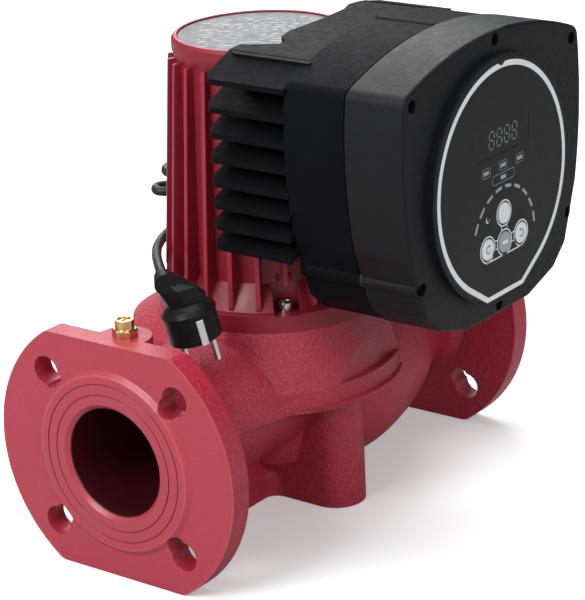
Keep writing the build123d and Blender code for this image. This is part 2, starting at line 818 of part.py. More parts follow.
with BuildPart() as front_cover:
    with BuildSketch(Plane.XZ.offset(-cover_back_y)) as cover_plan:
        make_face(box_edges())
        fillet(cover_plan.vertices(), 8)
    extrude(amount=cover_back_y - cover_front_y)
    fillet(front_cover.faces().sort_by(Axis.Y)[0].edges(), 2)
    # Raised round panel, cut off flat at the bottom.
    with BuildSketch(Plane.XZ.offset(-cover_front_y - 1)) as plateau:
        with Locations((0, panel_z)):
            Circle(panel_r)
            with Locations((0, 12)):
                Rectangle(200, 2 * (plateau_drop + 12), mode=Mode.INTERSECT)
        fillet(plateau.vertices(), 5)
    extrude(amount=cover_front_y - panel_y + 1)
    # Inside of the shell.
    with BuildSketch(Plane.XZ.offset(-cover_back_y)):
        make_face(box_edges(3.2))
    extrude(amount=cover_back_y - cover_front_y - 3.4, mode=Mode.SUBTRACT)
    with BuildSketch(Plane.XZ.offset(160)):
        with Locations((0, panel_z)):
            Circle(70)
    extrude(amount=16.5, mode=Mode.SUBTRACT)
    # Columns for the cover screws.
    with BuildSketch(Plane.XZ.offset(-cover_back_y)):
        with Locations(*cover_holes):
            Circle(5.4)
    extrude(amount=38)
    with BuildSketch(Plane.XZ.offset(146)):
        with Locations(*cover_holes):
            Circle(3.9)
    extrude(amount=40, mode=Mode.SUBTRACT)
    with BuildSketch(Plane.XZ.offset(-cover_back_y)):
        with Locations(*cover_holes):
            Circle(2.2)
    extrude(amount=20, mode=Mode.SUBTRACT)
    # Recess for the panel foil, openings for window, lamps and buttons.
    with BuildSketch(Plane.XZ.offset(-panel_y - 0.5)) as foil_seat:
        with Locations((0, panel_z)):
            Circle(foil_r + 0.15)
            with Locations((0, 12)):
                Rectangle(200, 2 * (foil_drop + 12.15), mode=Mode.INTERSECT)
    extrude(amount=2, mode=Mode.SUBTRACT)
    with BuildSketch(Plane.XZ.offset(170)):
        with Locations((0, 267)):
            Rectangle(60.1, 17.1)
        with Locations(*button_spots):
            Circle(button_r + 0.15)
        with Locations((0, 243), (-19, 250), (0, 250.5), (19, 250)):
            Rectangle(6.1, 2.6)
        with Locations((0, 201.5)):
            with PolarLocations(35, 9, start_angle=11, angular_range=158):
                Rectangle(2.1, 7.1)
    extrude(amount=20, mode=Mode.SUBTRACT)
    # Bosses for the display board.
    with BuildSketch(Plane.XZ.offset(161.6)):
        with Locations(*display_posts):
            Circle(3.5)
            Circle(1.3, mode=Mode.SUBTRACT)
    extrude(amount=15.5)
front_cover.part.label = "front_cover"
export_step(front_cover.part, "parts/front_cover.step")
print("cover", front_cover.part.is_valid, len(front_cover.part.solids()))

with BuildPart() as cover_screws:
    with BuildSketch(Plane.XZ.offset(146)):
        with Locations(*cover_holes):
            Circle(3.5)
    extrude(amount=3)
    with BuildSketch(Plane.XZ.offset(146)):
        with Locations(*cover_holes):
            Circle(2)
    extrude(amount=-26)
    with BuildSketch(Plane.XZ.offset(149)):
        with Locations(*cover_holes):
            RegularPolygon(2, 6)
    extrude(amount=-2, mode=Mode.SUBTRACT)
cover_screws.part.label = "cover_screws"
export_step(cover_screws.part, "parts/cover_screws.step")

# =============================================================================
# Control panel
# =============================================================================
with BuildPart() as panel_foil:
    with BuildSketch(Plane.XZ.offset(-panel_y - 0.5)):
        with Locations((0, panel_z)):
            Circle(foil_r)
            with Locations((0, 12)):
                Rectangle(200, 2 * (foil_drop + 12), mode=Mode.INTERSECT)
        with Locations((0, 267)):
            Rectangle(60, 17, mode=Mode.SUBTRACT)
        with Locations(*button_spots):
            Circle(button_r + 0.15, mode=Mode.SUBTRACT)
        with Locations((0, 243), (-19, 250), (0, 250.5), (19, 250)):
            Rectangle(6, 2.5, mode=Mode.SUBTRACT)
        with Locations((0, 201.5)):
            with PolarLocations(35, 9, start_angle=11, angular_range=158):
                Rectangle(2, 7, mode=Mode.SUBTRACT)
    extrude(amount=0.5)
panel_foil.part.label = "panel_foil"
export_step(panel_foil.part, "parts/panel_foil.step")

with BuildPart() as display_window:
    with BuildSketch(Plane.XZ.offset(176.4)):
        with Locations((0, 267)):
            Rectangle(60, 17)
    extrude(amount=3.5)
display_window.part.label = "display_window"
export_step(display_window.part, "parts/display_window.step")

with BuildPart() as display_module:
    with BuildSketch(Plane.XZ.offset(161.6)):
        with Locations((0, 267)):
            Rectangle(58, 16)
    extrude(amount=14.8)
display_module.part.label = "display_module"
export_step(display_module.part, "parts/display_module.step")

with BuildPart() as mode_lamps:
    with BuildSketch(Plane.XZ.offset(161.6)):
        with Locations((0, 243), (-19, 250), (0, 250.5), (19, 250)):
            Rectangle(6, 2.5)
    extrude(amount=18.4)
mode_lamps.part.label = "mode_lamps"
export_step(mode_lamps.part, "parts/mode_lamps.step")

with BuildPart() as level_lamps:
    with BuildSketch(Plane.XZ.offset(161.6)):
        with Locations((0, 201.5)):
            with PolarLocations(35, 9, start_angle=11, angular_range=158):
                Rectangle(2, 7)
    extrude(amount=18.4)
level_lamps.part.label = "level_lamps"
export_step(level_lamps.part, "parts/level_lamps.step")

button_names = ("button_up", "button_enter", "button_left", "button_right")
for name, place in zip(button_names, button_spots):
    with BuildPart() as button:
        with BuildSketch(Plane.XZ.offset(171.3)):
            with Locations(place):
                Circle(button_r)
        extrude(amount=9.3)
        chamfer(button.faces().sort_by(Axis.Y)[0].edges(), 0.4)
        with BuildSketch(Plane.XZ.offset(173)):
            with Locations(place):
                Circle(7.8)
        extrude(amount=3.4)
    button.part.label = name
    export_step(button.part, "parts/" + name + ".step")

with BuildPart() as display_board:
    with BuildSketch(Plane.XZ.offset(160)):
        with Locations((0, 237)):
            Rectangle(112, 98)
        with Locations(*display_posts):
            Circle(1.3, mode=Mode.SUBTRACT)
    extrude(amount=1.6)
display_board.part.label = "display_board"
export_step(display_board.part, "parts/display_board.step")

with BuildPart() as display_screws:
    with BuildSketch(Plane.XZ.offset(160)):
        with Locations(*display_posts):
            Circle(2.5)
    extrude(amount=-2)
    with BuildSketch(Plane.XZ.offset(160)):
        with Locations(*display_posts):
            Circle(1.25)
    extrude(amount=9)
display_screws.part.label = "display_screws"
export_step(display_screws.part, "parts/display_screws.step")

with BuildPart() as key_switches:
    with BuildSketch(Plane.XZ.offset(161.6)):
        with Locations(*button_spots):
            Rectangle(6, 6)
    extrude(amount=3.5)
    with BuildSketch(Plane.XZ.offset(161.6)):
        with Locations(*button_spots):
            Circle(1.7)
    extrude(amount=9)
key_switches.part.label = "key_switches"
export_step(key_switches.part, "parts/key_switches.step")

# =============================================================================
# Power electronics
# =============================================================================
with BuildPart() as power_board:
    with BuildSketch(Plane.XZ.offset(107)):
        with Locations((0, 239)):
            Rectangle(140, 126)
        with Locations(*board_posts):
            Circle(1.6, mode=Mode.SUBTRACT)
    extrude(amount=1.6)
power_board.part.label = "power_board"
export_step(power_board.part, "parts/power_board.step")

with BuildPart() as board_screws:
    with BuildSketch(Plane.XZ.offset(108.6)):
        with Locations(*board_posts):
            Circle(3)
    extrude(amount=2.2)
    with BuildSketch(Plane.XZ.offset(108.6)):
        with Locations(*board_posts):
            Circle(1.5)
    extrude(amount=-9)
board_screws.part.label = "board_screws"
export_step(board_screws.part, "parts/board_screws.step")

with BuildPart() as power_module:
    with BuildSketch(Plane.XZ.offset(95)):
        with Locations((0, 216)):
            Rectangle(32, 42)
    extrude(amount=8)
    with BuildSketch(Plane.XZ.offset(103)):
        with GridLocations(28, 6, 2, 6):
            with Locations((0, 216)):
                Rectangle(1.2, 1.2)
    extrude(amount=4)
power_module.part.label = "power_module"
export_step(power_module.part, "parts/power_module.step")
print("power module", len(power_module.part.solids()))

with BuildPart() as capacitors:
    with BuildSketch(Plane.XZ.offset(108.6)):
        with Locations((-46, 212), (-46, 241)):
            Circle(13)
    extrude(amount=36)
capacitors.part.label = "capacitors"
export_step(capacitors.part, "parts/capacitors.step")

with BuildPart() as choke:
    with Locations(Location((6, -113.9, 216), (90, 0, 0))):
        Torus(12, 5.3)
choke.part.label = "choke"
export_step(choke.part, "parts/choke.step")

with BuildPart() as terminal_block:
    with BuildSketch(Plane.XZ.offset(108.6)):
        with Locations((32, 188)):
            Rectangle(42, 14)
    extrude(amount=16)
    with BuildSketch(Plane.XZ.offset(124.6)):
        with GridLocations(8, 1, 5, 1):
            with Locations((32, 190)):
                Circle(2.6)
    extrude(amount=-4, mode=Mode.SUBTRACT)
terminal_block.part.label = "terminal_block"
export_step(terminal_block.part, "parts/terminal_block.step")

with BuildPart() as terminal_screws:
    with BuildSketch(Plane.XZ.offset(120.6)):
        with GridLocations(8, 1, 5, 1):
            with Locations((32, 190)):
                Circle(2.55)
    extrude(amount=2.6)
    with BuildSketch(Plane.XZ.offset(123.2)):
        with GridLocations(8, 1, 5, 1):
            with Locations((32, 190)):
                Rectangle(5.2, 0.8)
    extrude(amount=-1, mode=Mode.SUBTRACT)
terminal_screws.part.label = "terminal_screws"
export_step(terminal_screws.part, "parts/terminal_screws.step")

with BuildPart() as ribbon_cable:
    with BuildSketch(Plane.XZ.offset(108.6)):
        with Locations((0, 283)):
            Rectangle(30, 1)
    extrude(amount=51.4)
ribbon_cable.part.label = "ribbon_cable"
export_step(ribbon_cable.part, "parts/ribbon_cable.step")

with BuildPart() as motor_leads:
    # Three insulated leads from the winding head into the box.
    with BuildSketch(Plane.XZ.offset(46)):
        with Locations((-7, 276), (0, 276), (7, 276)):
            Circle(1.6)
    extrude(amount=61)
motor_leads.part.label = "motor_leads"
export_step(motor_leads.part, "parts/motor_leads.step")

# =============================================================================
# Mains cord: gland, lead, tied hank behind the motor, tail and plug
# =============================================================================
with BuildPart() as cable_gland:
    with BuildSketch(Plane.XZ.offset(85)):
        with Locations((gland_x, gland_z)):
            RegularPolygon(10, 6)
    extrude(amount=6)
    with BuildSketch(Plane.XZ.offset(91)):
        with Locations((gland_x, gland_z)):
            Circle(8)
    extrude(amount=4)
    with BuildSketch(Plane.XZ.offset(80)):
        with Locations((gland_x, gland_z)):
            Circle(7)
    extrude(amount=5)
    with BuildSketch(Plane.XZ.offset(78)):
        with Locations((gland_x, gland_z)):
            Circle(cord_d / 2 + 0.05)
    extrude(amount=18, mode=Mode.SUBTRACT)
cable_gland.part.label = "cable_gland"
export_step(cable_gland.part, "parts/cable_gland.step")

with BuildPart() as gland_nut:
    with BuildSketch(Plane.XZ.offset(74)):
        with Locations((gland_x, gland_z)):
            RegularPolygon(9.8, 6)
    extrude(amount=10.8)
    with BuildSketch(Plane.XZ.offset(74)):
        with Locations((gland_x, gland_z)):
            Circle(8)
    extrude(amount=-8, taper=18)
    with BuildSketch(Plane.XZ.offset(79.9)):
        with Locations((gland_x, gland_z)):
            Circle(7.05)
    extrude(amount=8, mode=Mode.SUBTRACT)
    with BuildSketch(Plane.XZ.offset(60)):
        with Locations((gland_x, gland_z)):
            Circle(cord_d / 2 + 0.05)
    extrude(amount=30, mode=Mode.SUBTRACT)
gland_nut.part.label = "gland_nut"
export_step(gland_nut.part, "parts/gland_nut.step")


def corner_radii(points):
    """Arc radius at every inner corner: 0.45 of the shorter run over tan of half the turn."""
    radii = []
    for before, here, after in zip(points, points[1:], points[2:]):
        run_in = Vector(here) - Vector(before)
        run_out = Vector(after) - Vector(here)
        turn = math.radians(run_in.get_angle(run_out))
        radii.append(0.45 * min(run_in.length, run_out.length) / math.tan(turn / 2))
    return radii


lead_points = (
    (gland_x, -97, gland_z),
    (gland_x, -45, gland_z),
    (82, 8, 201),
    spot(77.5, 10, 205.6),
)
tail_points = (
    spot(77.5, -12, 179.4),
    spot(64, -50, 175),
    spot(27, -69.2, 172.5),
    spot(0, -73.4, 172.6),
    spot(-30, -73, 177),
    spot(-62, -71.5, 184.5),
    spot(-88, -68.8, 189.7),
    spot(-106, -66.4, 190.9),
)
for name, route in (("cord_lead", lead_points), ("cord_tail", tail_points)):
    radii = corner_radii(route)
    print(name, "arc radii", [round(r, 1) for r in radii])
    with BuildPart() as cord:
        with BuildLine():
            path = FilletPolyline(*route, radius=radii)
        with BuildSketch(Plane(origin=path @ 0, z_dir=path % 0)):
            Circle(cord_d / 2)
        sweep()
    cord.part.label = name
    export_step(cord.part, "parts/" + name + ".step")
    section = math.pi * cord_d**2 / 4
    ratio = cord.part.volume / (section * path.length)
    print(name, "length", round(path.length, 1), "volume ratio", round(ratio, 4))

# The spare length is wound into a flat hank of five turns, tied round the middle.
with BuildPart() as cord_hank:
    for low, left, right in hank_steps:
        middle = spot(hank_depth, (left + right) / 2, low)
        with BuildSketch(Plane(origin=middle, x_dir=(side[0], side[1], 0))):
            SlotOverall(right - left, hank_thick)
        extrude(amount=hank_top - low)
    fillet(cord_hank.faces().sort_by(Axis.Z)[-1].edges(), 3)
    fillet(cord_hank.faces().sort_by(Axis.Z)[0].edges(), 3)
cord_hank.part.label = "cord_hank"
export_step(cord_hank.part, "parts/cord_hank.step")
print("hank", cord_hank.part.is_valid, len(cord_hank.part.solids()))

tie_middle = spot(hank_depth, 3, (hank_bottom + hank_top) / 2)
tie_plane = Plane(origin=tie_middle, x_dir=(back[0], back[1], 0), z_dir=(side[0], side[1], 0))
tie_in = (hank_thick + 0.4, hank_top - hank_bottom + 0.4)
with BuildPart() as cord_tie:
    with BuildSketch(tie_plane):
        RectangleRounded(tie_in[0] + 2.6, tie_in[1] + 2.6, 4.5)
        RectangleRounded(tie_in[0], tie_in[1], 3.1, mode=Mode.SUBTRACT)
    extrude(amount=4.8)
    with BuildSketch(tie_plane.offset(-0.6)):
        with Locations((tie_in[0] / 2 + 2.2, 8)):
            Rectangle(3, 6)
    extrude(amount=6)
cord_tie.part.label = "cord_tie"
export_step(cord_tie.part, "parts/cord_tie.step")
print("tie", len(cord_tie.part.solids()))

# Moulded angled plug with two round pins and side earth clips, pins down.
plug_face = Plane(origin=(-111.3, -25.1, 146.5), x_dir=(0.86, -0.509, 0.199), z_dir=(0.127, -0.167, -0.976))
plug_r = 17.2
contact_depth = 17.5
collar_r = 17.9
collar_top = 20.0
pin_space = 9.5
pin_d = 4.8
relief_end = Vector(*tail_points[-1])
relief_dir = (Vector(*tail_points[-2]) - relief_end).normalized()
relief_base = relief_end - relief_dir * 9
grip_low = plug_face.offset(-collar_top)
grip_middle = plug_face.offset(-33)
elbow = grip_middle.from_local_coords((-4, 0, 0))
with BuildPart() as plug_body:
    with BuildSketch(plug_face):
        Circle(plug_r)
    extrude(amount=-contact_depth)
    with BuildSketch(plug_face.offset(-contact_depth)):
        Circle(collar_r)
    extrude(amount=contact_depth - collar_top)
    with BuildSketch(grip_low):
        Circle(collar_r - 0.6)
    with BuildSketch(grip_low.offset(-5)):
        Circle(11.5)
    loft()
    with BuildSketch(grip_low):
        with Locations((1, 0)):
            RectangleRounded(20, 17, 3)
    with BuildSketch(grip_middle):
        with Locations((-1, 0)):
            RectangleRounded(25, 17, 3)
    loft()
    with BuildSketch(Plane(origin=elbow, x_dir=plug_face.y_dir, z_dir=relief_base - elbow)):
        RectangleRounded(17, 17, 4)
    with BuildSketch(Plane(origin=relief_base, x_dir=plug_face.y_dir, z_dir=relief_dir)):
        RectangleRounded(12, 12, 4)
    loft()
    with BuildSketch(Plane(origin=relief_base, z_dir=relief_dir)):
        Circle(5.4)
    extrude(amount=9)
    # Flats that seat the earth clips, and the clearance for the pins.
    for sign in (-1, 1):
        with BuildSketch(plug_face):
            with Locations((0, sign * plug_r)):
                Rectangle(5.2, 2.4)
        extrude(amount=1 - contact_depth, mode=Mode.SUBTRACT)
    with BuildSketch(plug_face):
        with Locations((-pin_space, 0), (pin_space, 0)):
            Circle(pin_d / 2)
    extrude(amount=-8, mode=Mode.SUBTRACT)
plug_body.part.label = "plug_body"
export_step(plug_body.part, "parts/plug_body.step")
print("plug", plug_body.part.is_valid, len(plug_body.part.solids()))

with BuildPart() as plug_pins:
    with BuildSketch(plug_face.offset(-8)):
        with Locations((-pin_space, 0), (pin_space, 0)):
            Circle(pin_d / 2 - 0.02)
    extrude(amount=27)
    chamfer(plug_pins.faces().sort_by(Axis(plug_face.origin, plug_face.z_dir))[-2:].edges(), 1)
plug_pins.part.label = "plug_pins"
export_step(plug_pins.part, "parts/plug_pins.step")

with BuildPart() as plug_earth_clips:
    for sign in (-1, 1):
        with BuildSketch(plug_face):
            with Locations((0, sign * (plug_r - 0.3))):
                Rectangle(4.6, 1.6)
        extrude(amount=1.2 - contact_depth)
plug_earth_clips.part.label = "plug_earth_clips"
export_step(plug_earth_clips.part, "parts/plug_earth_clips.step")

# Cores inside the box, from the end of the cord sheath to the terminals.
with BuildPart() as cord_cores:
    for step in (-2, 0, 2):
        with BuildLine():
            core = FilletPolyline(
                (gland_x + step * 0.6, -97, gland_z + step),
                (gland_x + step * 0.6, -116 + step, gland_z + step),
                (53.4, -116 + step, 188 + step),
                radius=5,
            )
        with BuildSketch(Plane(origin=core @ 0, z_dir=core % 0)):
            Circle(0.9)
        sweep()
cord_cores.part.label = "cord_cores"
export_step(cord_cores.part, "parts/cord_cores.step")
print("cores", len(cord_cores.part.solids()))
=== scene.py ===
import math

import bmesh
import bpy
from mathutils import Matrix, Vector


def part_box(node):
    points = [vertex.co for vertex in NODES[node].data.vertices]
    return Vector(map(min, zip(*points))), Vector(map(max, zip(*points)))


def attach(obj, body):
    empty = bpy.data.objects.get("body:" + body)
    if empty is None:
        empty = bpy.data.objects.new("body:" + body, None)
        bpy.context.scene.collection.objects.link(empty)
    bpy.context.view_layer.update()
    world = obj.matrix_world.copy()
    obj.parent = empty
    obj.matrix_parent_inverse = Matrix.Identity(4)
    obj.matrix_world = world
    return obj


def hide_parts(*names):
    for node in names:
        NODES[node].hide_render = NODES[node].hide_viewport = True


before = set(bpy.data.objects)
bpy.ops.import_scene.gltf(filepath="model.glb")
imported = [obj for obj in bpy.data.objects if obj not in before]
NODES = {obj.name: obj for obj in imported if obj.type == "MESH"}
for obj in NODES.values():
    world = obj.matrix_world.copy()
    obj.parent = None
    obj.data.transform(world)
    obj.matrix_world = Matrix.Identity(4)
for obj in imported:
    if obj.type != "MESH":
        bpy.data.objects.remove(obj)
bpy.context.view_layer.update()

# =============================================================================
# Camera
# =============================================================================
BACK = Vector((-0.7465, -0.5702, 0.3432)).normalized()
RIGHT = Vector((0.6070, -0.7947, 0.0)).normalized()
UP = BACK.cross(RIGHT).normalized()
ROLL = math.radians(-2.76)
TARGET = Vector((0.0211, 0.0002, 0.1244))
DISTANCE = 1.613

camera_data = bpy.data.cameras.new("camera")
camera_data.lens = 144.9
camera_data.sensor_width = 36
camera_data.clip_start = 0.05
camera_data.clip_end = 60
camera = bpy.data.objects.new("camera", camera_data)
bpy.context.scene.collection.objects.link(camera)
right = RIGHT * math.cos(ROLL) + UP * math.sin(ROLL)
up = -RIGHT * math.sin(ROLL) + UP * math.cos(ROLL)
turn = Matrix((right, up, BACK)).transposed().to_4x4()
camera.matrix_world = Matrix.Translation(TARGET + BACK * DISTANCE) @ turn
bpy.context.scene.camera = camera


# =============================================================================
# Small helpers
# =============================================================================
def mm(*values):
    """Millimetres to a vector in metres."""
    return Vector(values) / 1000


def spot(depth, across, height):
    """A point in metres, given in millimetres behind the shaft and across it."""
    return mm(0.794 * depth + 0.607 * across, 0.607 * depth - 0.794 * across, height)


def link(piece, body, material):
    """Adds a piece to the scene on its body, with its material."""
    bpy.context.scene.collection.objects.link(piece)
    if material is not None:
        piece.data.materials.append(material)
    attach(piece, body)
    return piece


def mesh_piece(name, build, body, material, smooth=False):
    """A piece whose mesh the build function fills in."""
    mesh = bpy.data.meshes.new(name)
    bm = bmesh.new()
    build(bm)
    bmesh.ops.recalc_face_normals(bm, faces=bm.faces)
    bm.to_mesh(mesh)
    bm.free()
    for polygon in mesh.polygons:
        polygon.use_smooth = smooth
    return link(bpy.data.objects.new(name, mesh), body, material)


def loft(bm, rings, closed=True, caps=True):
    """Joins rings of points, each given in order, by quads."""
    rows = [[bm.verts.new(p) for p in ring] for ring in rings]
    count = len(rows[0])
    last = count if closed else count - 1
    for a, b in zip(rows, rows[1:]):
        for i in range(last):
            j = (i + 1) % count
            bm.faces.new((a[i], a[j], b[j], b[i]))
    if caps:
        bm.faces.new(rows[0][::-1])
        bm.faces.new(rows[-1])
    return rows


# =============================================================================
# Materials
# =============================================================================
# Places in the CAD that the paint follows, in metres.
PIPE_Z = 0.078
BORE_R = 0.0360
FLANGE_FACE_X = 0.1675
FLANGE_BACK_X = 0.1515
RAISED_FACE_X = 0.1700
FLANGE_R = 0.0925
RAISED_R = 0.0575
RIB_FOOT_Z = 0.150
RIB_FOOT_R = 0.0699
RIB_TAPER = -0.0693
EDGE_RADIUS = 0.0007


class Nodes:
    """Builds a node material with short calls."""

    def __init__(self, name, rough=0.5, metallic=0.0, specular=0.5):
        self.material = bpy.data.materials.new(name)
        self.material.use_nodes = True
        self.tree = self.material.node_tree
        self.shader = self.tree.nodes["Principled BSDF"]
        self.set("Roughness", rough)
        self.set("Metallic", metallic)
        self.set("Specular IOR Level", specular)
        self.coords = self.tree.nodes.new("ShaderNodeTexCoord").outputs["Object"]
        self.bump_end = None

    def set(self, socket, value):
        self.shader.inputs[socket].default_value = value

    def wire(self, source, socket):
        self.tree.links.new(source, self.shader.inputs[socket])

    def add(self, kind, **settings):
        node = self.tree.nodes.new(kind)
        for key, value in settings.items():
            setattr(node, key, value)
        return node

    def noise(self, scale, detail=4.0, rough=0.6, stretch=None):
        """Noise value between 0 and 1, at a scale in waves per metre."""
        node = self.add("ShaderNodeTexNoise")
        node.inputs["Scale"].default_value = scale
        node.inputs["Detail"].default_value = detail
        node.inputs["Roughness"].default_value = rough
        source = self.coords
        if stretch:
            mapping = self.add("ShaderNodeMapping")
            mapping.inputs["Scale"].default_value = stretch
            self.tree.links.new(self.coords, mapping.inputs["Vector"])
            source = mapping.outputs["Vector"]
        self.tree.links.new(source, node.inputs["Vector"])
        return node.outputs["Fac"]

    def cells(self, scale, feature="F1"):
        node = self.add("ShaderNodeTexVoronoi", feature=feature)
        node.inputs["Scale"].default_value = scale
        self.tree.links.new(self.coords, node.inputs["Vector"])
        return node.outputs["Distance"]

    def math(self, operation, a, b=0.0, c=0.0):
        node = self.add("ShaderNodeMath", operation=operation)
        for i, value in enumerate((a, b, c)):
            if isinstance(value, (int, float)):
                node.inputs[i].default_value = value
            else:
                self.tree.links.new(value, node.inputs[i])
        return node.outputs[0]

    def part(self, axis):
        node = self.add("ShaderNodeSeparateXYZ")
        self.tree.links.new(self.coords, node.inputs[0])
        return node.outputs[axis]

    def ramp(self, value, low, high, out_low=0.0, out_high=1.0):
        """Smooth step of a value from low to high."""
        node = self.add("ShaderNodeMapRange", interpolation_type="SMOOTHSTEP")
        self.tree.links.new(value, node.inputs["Value"])
        for key, number in (("From Min", low), ("From Max", high), ("To Min", out_low), ("To Max", out_high)):
            node.inputs[key].default_value = number
        return node.outputs["Result"]

    def mix(self, factor, a, b):
        """Colour between a and b; both may be colours or outputs."""
        node = self.add("ShaderNodeMix", data_type="RGBA")
        self.tree.links.new(factor, node.inputs[0])
        for index, value in ((6, a), (7, b)):
            if isinstance(value, tuple):
                node.inputs[index].default_value = (*value, 1)
            else:
                self.tree.links.new(value, node.inputs[index])
        return node.outputs[2]

    def bump(self, height, strength, distance):
        """Adds one more layer of bump, over edges rounded by a small radius."""
        node = self.add("ShaderNodeBump")
        node.inputs["Strength"].default_value = strength
        node.inputs["Distance"].default_value = distance
        self.tree.links.new(height, node.inputs["Height"])
        if self.bump_end is None:
            bevel = self.add("ShaderNodeBevel", samples=4)
            bevel.inputs["Radius"].default_value = EDGE_RADIUS
            self.bump_end = bevel.outputs["Normal"]
        self.tree.links.new(self.bump_end, node.inputs["Normal"])
        self.bump_end = node.outputs["Normal"]
        self.wire(self.bump_end, "Normal")

    def radius_about(self, axis_a, centre_a, axis_b, centre_b):
        """Distance from a line parallel to one axis."""
        a = self.math("SUBTRACT", self.part(axis_a), centre_a)
        b = self.math("SUBTRACT", self.part(axis_b), centre_b)
        squares = self.math("ADD", self.math("MULTIPLY", a, a), self.math("MULTIPLY", b, b))
        return self.math("SQRT", squares)


def painted_iron():
    """Glossy red paint on rough cast iron, smooth and lighter on the turned faces."""
    m = Nodes("painted_iron", rough=0.36, specular=0.5)
    broad = m.noise(22, 3)
    grain = m.noise(620, 5, 0.62)
    pits = m.cells(430)
    body = m.mix(broad, (0.33, 0.0155, 0.034), (0.41, 0.024, 0.050))
    body = m.mix(m.ramp(grain, 0.42, 0.72), body, (0.50, 0.045, 0.078))
    end = m.math("ABSOLUTE", m.part(0))
    ring = m.radius_about(1, 0.0, 2, PIPE_Z)
    turned = m.ramp(end, FLANGE_FACE_X - 0.00015, FLANGE_FACE_X + 0.00010)
    shaded_bore = m.math("MULTIPLY", m.ramp(ring, BORE_R + 0.0002, BORE_R - 0.0002), m.ramp(end, 0.07, 0.10))
    smooth = m.math("MAXIMUM", turned, shaded_bore)
    flange = m.ramp(end, FLANGE_BACK_X - 0.0003, FLANGE_BACK_X + 0.0003)
    rim = m.math("MULTIPLY", flange, m.ramp(ring, FLANGE_R - 0.0010, FLANGE_R - 0.0003))
    smooth = m.math("MAXIMUM", smooth, m.math("MULTIPLY", rim, 0.6))
    body = m.mix(turned, body, (0.40, 0.042, 0.066))
    # Brighter paint in broken lines along the rims of the flanges and the raised faces: partly chipped paint,
    # partly a painted highlight on the rim edges.
    flange_end = m.ramp(end, FLANGE_FACE_X - 0.0011, FLANGE_FACE_X + 0.0001)
    edge = m.math("MULTIPLY", flange_end, m.ramp(ring, FLANGE_R - 0.0013, FLANGE_R - 0.0001))
    raised_end = m.ramp(end, RAISED_FACE_X - 0.0008, RAISED_FACE_X - 0.0001)
    lip = m.math("MULTIPLY", raised_end, m.ramp(ring, RAISED_R - 0.0013, RAISED_R - 0.0001))
    highlight_and_wear = m.math("MULTIPLY", m.math("MAXIMUM", edge, lip), m.ramp(m.noise(260, 4), 0.30, 0.42))
    body = m.mix(highlight_and_wear, body, (0.50, 0.070, 0.090))
    # Painted shade: the inside of the bore is darkened almost to black, standing in for the shade deep in the
    # pipe.
    body = m.mix(shaded_bore, body, (0.045, 0.0035, 0.007))
    m.wire(body, "Base Color")
    m.wire(m.ramp(m.noise(75, 4), 0.2, 0.8, 0.27, 0.43), "Roughness")
    rough = m.math("SUBTRACT", 1.0, smooth)
    cast = m.math("MULTIPLY", m.math("ADD", grain, m.math("MULTIPLY", pits, 0.5)), rough)
    m.bump(cast, 0.55, 0.0009)
    m.bump(m.noise(90, 3), 0.25, 0.0012)
    lathe = m.math("SINE", m.math("MULTIPLY", ring, 9000.0))
    m.bump(m.math("MULTIPLY", lathe, turned), 0.10, 0.00012)
    return m.material


def painted_alloy():
    """Satin red paint on the die-cast motor, lighter on the rib tips: partly paint worn thinner there, partly
    a painted highlight along the tips.
    """
    m = Nodes("painted_alloy", rough=0.40, specular=0.42)
    broad = m.noise(30, 3)
    body = m.mix(broad, (0.200, 0.0085, 0.019), (0.265, 0.0125, 0.027))
    ring = m.radius_about(0, 0.0, 1, 0.0)
    height = m.part(2)
    tip = m.math("ADD", RIB_FOOT_R, m.math("MULTIPLY", m.math("SUBTRACT", height, RIB_FOOT_Z), RIB_TAPER))
    over = m.math("SUBTRACT", ring, tip)
    ribbed = m.ramp(height, RIB_FOOT_Z - 0.001, RIB_FOOT_Z + 0.002)
    # Lighter rib tips: partly paint worn thinner, partly a painted highlight along the tips.
    highlight_and_wear = m.math("MULTIPLY", m.ramp(over, -0.0009, -0.0001), ribbed)
    body = m.mix(highlight_and_wear, body, (0.32, 0.022, 0.045))
    m.wire(body, "Base Color")
    m.wire(m.ramp(m.noise(120, 3), 0.25, 0.75, 0.34, 0.46), "Roughness")
    m.bump(m.noise(900, 4), 0.25, 0.0003)
    m.bump(m.noise(70, 3), 0.15, 0.0012)
    return m.material


def plastic(name, dark, light, rough=0.5, grain=1500, depth=0.35, distance=0.00025, specular=0.5):
    """Moulded or coated surface with a fine even texture."""
    m = Nodes(name, rough=rough, specular=specular)
    m.wire(m.mix(m.noise(45, 4), dark, light), "Base Color")
    m.wire(m.ramp(m.noise(160, 3), 0.3, 0.7, rough - 0.05, rough + 0.05), "Roughness")
    m.bump(m.noise(grain, 3, 0.5), depth, distance)
    m.bump(m.cells(grain * 0.6), depth * 0.6, distance)
    return m.material


def metal(name, dark, light, rough=0.3, stretch=None, scale=300, depth=0.15):
    """Bare metal with directional machining marks."""
    m = Nodes(name, rough=rough, metallic=1.0)
    m.wire(m.mix(m.noise(scale, 4, 0.6, stretch), dark, light), "Base Color")
    m.wire(m.ramp(m.noise(scale * 0.7, 3), 0.25, 0.75, rough - 0.08, rough + 0.10), "Roughness")
    m.bump(m.noise(scale * 4, 3, 0.5, stretch), depth, 0.0001)
    return m.material


def rubber(name, dark, light, rough=0.55, specular=0.42):
    """Matt sheath with faint drag marks and dust."""
    m = Nodes(name, rough=rough, specular=specular)
    m.wire(m.mix(m.noise(90, 5), dark, light), "Base Color")
    m.wire(m.ramp(m.noise(210, 4), 0.3, 0.7, rough - 0.08, rough + 0.08), "Roughness")
    m.bump(m.noise(1300, 3), 0.25, 0.00018)
    m.bump(m.noise(160, 3), 0.18, 0.0006)
    return m.material


